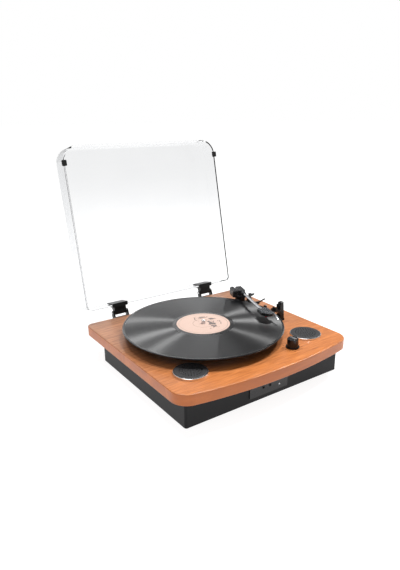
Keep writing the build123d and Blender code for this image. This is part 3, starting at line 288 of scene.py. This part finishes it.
spindle_axis = middle("spindle")
MATERIALS = {
    "wood": varnished_wood(*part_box("deck")),
    "black_vinyl": speckled("black_vinyl", (0.004, 0.004, 0.005), (0.008, 0.008, 0.009), 900, 0.42, 0.00010,
                            Specular_IOR_Level=0.22),
    "hardboard": speckled("hardboard", (0.12, 0.075, 0.045), (0.20, 0.13, 0.08), 420, 0.80, 0.0003),
    "rubber": speckled("rubber", (0.003, 0.003, 0.003), (0.007, 0.007, 0.007), 700, 0.62, 0.00010,
                       Specular_IOR_Level=0.2),
    "steel": brushed("steel", (0.48, 0.48, 0.50), (0.66, 0.66, 0.68), (300, 2400, 2400), 0.26),
    "chrome": speckled("chrome", (0.88, 0.88, 0.90), (0.97, 0.97, 0.98), 120, 0.20, 0.00001, metal=1.0),
    "grille_black": speckled("grille_black", (0.016, 0.016, 0.017), (0.026, 0.026, 0.028),
                             1500, 0.40, 0.00008),
    "steel_dark": speckled("steel_dark", (0.030, 0.030, 0.032), (0.055, 0.055, 0.060),
                           500, 0.42, 0.00008, metal=0.6),
    "cone_paper": speckled("cone_paper", (0.012, 0.012, 0.012), (0.030, 0.030, 0.030), 1300, 0.85, 0.0002),
    "platter_alu": concentric_metal("platter_alu", spindle_axis, (0.62, 0.62, 0.64), 0.32),
    "felt": speckled("felt", (0.012, 0.012, 0.013), (0.034, 0.034, 0.036),
                     2200, 0.93, 0.0004, Sheen_Weight=0.3),
    "vinyl": record_vinyl(spindle_axis),
    "label_paper": label_paper(spindle_axis),
    "brass": speckled("brass", (0.55, 0.38, 0.13), (0.74, 0.55, 0.24), 800, 0.28, 0.00005, metal=1.0),
    "belt_rubber": speckled("belt_rubber", (0.010, 0.010, 0.010), (0.022, 0.022, 0.022), 1200, 0.52, 0.00008),
    "motor_can": brushed("motor_can", (0.40, 0.40, 0.42), (0.58, 0.58, 0.60), (1600, 1600, 90), 0.33),
    "arm_plastic": speckled("arm_plastic", (0.004, 0.004, 0.005), (0.009, 0.009, 0.010), 1700, 0.26, 0.00005,
                            Specular_IOR_Level=0.32),
    "arm_grey": speckled("arm_grey", (0.010, 0.010, 0.011), (0.020, 0.020, 0.022), 1700, 0.26, 0.00006),
    "arm_metal": brushed("arm_metal", (0.66, 0.66, 0.68), (0.84, 0.84, 0.86), (500, 500, 3000), 0.20),
    "head_plate": brushed("head_plate", (0.24, 0.26, 0.28), (0.38, 0.40, 0.43), (350, 1500, 1500), 0.24),
    "stylus_red": speckled("stylus_red", (0.42, 0.004, 0.020), (0.62, 0.010, 0.035), 600, 0.20, 0.00004),
    "knob_black": speckled("knob_black", (0.003, 0.003, 0.003), (0.007, 0.007, 0.008), 1500, 0.16, 0.00003),
    "pointer_silver": brushed("pointer_silver", (0.70, 0.70, 0.72), (0.86, 0.86, 0.88),
                              (3000, 600, 600), 0.24),
    "panel_black": speckled("panel_black", (0.007, 0.007, 0.008), (0.013, 0.013, 0.014), 900, 0.24, 0.00004),
    "jack_metal": brushed("jack_metal", (0.42, 0.42, 0.44), (0.60, 0.60, 0.62), (2000, 300, 2000), 0.28),
    "led": speckled("led", (0.72, 0.78, 0.84), (0.86, 0.90, 0.94), 500, 0.16, 0.00003),
    "board_green": speckled("board_green", (0.010, 0.075, 0.022), (0.022, 0.130, 0.042), 260, 0.38, 0.0001),
    "lid_clear": clear_acrylic(),
    "hinge_black": speckled("hinge_black", (0.003, 0.003, 0.003), (0.007, 0.007, 0.007), 1400, 0.28, 0.00006,
                            Specular_IOR_Level=0.32),
}
for part in frame["record"]["subparts"]:
    piece = nodes[part["node"]]
    piece.data.materials.clear()
    piece.data.materials.append(MATERIALS[part["material_slot"]])


# ---------------------------------------------------------------- small trim made here
def add_piece(name, mesh, slot_name, body):
    piece = bpy.data.objects.new(name, mesh)
    bpy.context.scene.collection.objects.link(piece)
    mesh.materials.append(MATERIALS[slot_name])
    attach(piece, body)
    return piece


def raised_strokes(name, strokes, width, height, slot_name, body):
    """Thin printed strokes lying on the deck: each runs from one point to another."""
    shape = bmesh.new()
    for start, end in strokes:
        along = (end - start).normalized()
        across = Vector((-along.y, along.x, 0)) * width / 2
        corners = [start - across, end - across, end + across, start + across]
        top = [shape.verts.new(c + Vector((0, 0, height))) for c in corners]
        foot = [shape.verts.new(c) for c in corners]
        shape.faces.new(top)
        shape.faces.new(foot[::-1])
        for index in range(4):
            nxt = (index + 1) % 4
            shape.faces.new((foot[index], foot[nxt], top[nxt], top[index]))
    bmesh.ops.recalc_face_normals(shape, faces=shape.faces)
    mesh = bpy.data.meshes.new(name)
    shape.to_mesh(mesh)
    shape.free()
    return add_piece(name, mesh, slot_name, body)


DECK_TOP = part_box("deck")[1].z
knob = middle("volume_knob")
TICKS = 11
TICK_IN = 15.5 * MM
TICK_OUT = 18.5 * MM
TICK_WIDTH = 0.7 * MM
TICK_HEIGHT = 0.06 * MM
TICK_GAP = 0.01 * MM
DIAL_START = 240
DIAL_SWEEP = 300
dial = []
for step in range(TICKS):
    angle = math.radians(DIAL_START - DIAL_SWEEP * step / (TICKS - 1))
    ray = Vector((math.cos(angle), math.sin(angle), 0))
    base = Vector((knob.x, knob.y, DECK_TOP + TICK_GAP))
    dial.append((base + ray * TICK_IN, base + ray * TICK_OUT))
raised_strokes("dial_ticks", dial, TICK_WIDTH, TICK_HEIGHT, "knob_black", "chassis")


# ---------------------------------------------------------------- floor, light and camera
FILL_LIGHT = 0.26
BACKDROP = 1.0
FLOOR_GLOW = 0.90
FLOOR_REACH = 30.0
SUN_POWER = 0.7
SUN_SPREAD = 40.0
SUN_DIRECTION = (-1.5, -0.8, 2.6)
RECORD_HEIGHT = 87 * MM
STREAK_DISTANCE = 2.0
# Each lamp draws one blurred streak across the record: name, direction from it, size and power.
STREAK_LAMPS = (
    ("overhead_right", (0.30, 0.0, 0.95), (0.12, 0.30), 34),
    ("side_right", (0.68, -0.02, 0.73), (0.12, 0.30), 26),
    ("overhead_back", (-0.12, 0.34, 0.93), (0.30, 0.12), 18),
)


def studio():
    """A glowing white floor and an even sky, which is brighter seen directly or through the lid."""
    world = bpy.data.worlds.new("studio")
    bpy.context.scene.world = world
    world.use_nodes = True
    tree = world.node_tree
    seen = tree.nodes.new("ShaderNodeLightPath")
    direct = tree.nodes.new("ShaderNodeMath")
    direct.operation = "MAXIMUM"
    tree.links.new(seen.outputs["Is Camera Ray"], direct.inputs[0])
    tree.links.new(seen.outputs["Is Transmission Ray"], direct.inputs[1])
    strength = tree.nodes.new("ShaderNodeMapRange")
    strength.inputs["To Min"].default_value = FILL_LIGHT
    strength.inputs["To Max"].default_value = BACKDROP
    tree.links.new(direct.outputs[0], strength.inputs["Value"])
    background = tree.nodes["Background"]
    background.inputs["Color"].default_value = (1.0, 1.0, 1.0, 1)
    tree.links.new(strength.outputs["Result"], background.inputs["Strength"])
    floor_mesh = bpy.data.meshes.new("floor")
    corners = [(x * FLOOR_REACH, y * FLOOR_REACH, 0) for x, y in ((-1, -1), (1, -1), (1, 1), (-1, 1))]
    floor_mesh.from_pydata(corners, [], [(0, 1, 2, 3)])
    floor = bpy.data.objects.new("floor", floor_mesh)
    bpy.context.scene.collection.objects.link(floor)
    paper = Look("floor_paper", Roughness=0.9, Specular_IOR_Level=0.1, Emission_Strength=FLOOR_GLOW)
    paper.shader.inputs["Emission Color"].default_value = (1, 1, 1, 1)
    cloud = paper.noise(paper.place(), 2.0, detail=2)
    paper.colour(paper.ramp(cloud, ((0.3, (0.22, 0.22, 0.22)), (0.7, (0.24, 0.24, 0.24)))))
    floor_mesh.materials.append(paper.material)


def lamp(name, place, aim, size, power):
    data = bpy.data.lights.new(name, "AREA")
    data.shape = "RECTANGLE"
    data.size, data.size_y = size
    data.energy = power
    made = bpy.data.objects.new(name, data)
    made.location = place
    made.rotation_euler = (Vector(aim) - Vector(place)).to_track_quat("-Z", "Y").to_euler()
    bpy.context.scene.collection.objects.link(made)


def sun(direction, spread, power):
    """A broad soft key light, which lights the whole floor evenly."""
    data = bpy.data.lights.new("key_light", "SUN")
    data.angle = math.radians(spread)
    data.energy = power
    made = bpy.data.objects.new("key_light", data)
    made.rotation_euler = Vector(direction).to_track_quat("Z", "Y").to_euler()
    bpy.context.scene.collection.objects.link(made)


studio()
RECORD_SPOT = (spindle_axis.x, spindle_axis.y, RECORD_HEIGHT)
sun(SUN_DIRECTION, SUN_SPREAD, SUN_POWER)
for name, direction, size, power in STREAK_LAMPS:
    place = Vector(RECORD_SPOT) + STREAK_DISTANCE * Vector(direction)
    lamp(name, place, RECORD_SPOT, size, power)

AZIMUTH = -34.75
ELEVATION = 18.5
ROLL = -0.46
LENS = 32.44
SENSOR_WIDTH = 36.0
LENS_SHIFT = 0.00417544
CAMERA_PLACE = (-0.5350, -0.7761, 0.4566)
camera = bpy.data.objects.new("camera", bpy.data.cameras.new("camera"))
bpy.context.scene.collection.objects.link(camera)
camera.data.lens = LENS
camera.data.sensor_width = SENSOR_WIDTH
camera.data.clip_start = 0.01
camera.data.clip_end = 200.0
camera.data.shift_y = LENS_SHIFT
camera.location = CAMERA_PLACE
turn = (Matrix.Rotation(math.radians(AZIMUTH), 3, "Z")
        @ Matrix.Rotation(math.radians(90 - ELEVATION), 3, "X")
        @ Matrix.Rotation(math.radians(ROLL), 3, "Z"))
camera.rotation_euler = turn.to_euler()
bpy.context.scene.camera = camera
bpy.context.scene.view_settings.view_transform = "Standard"
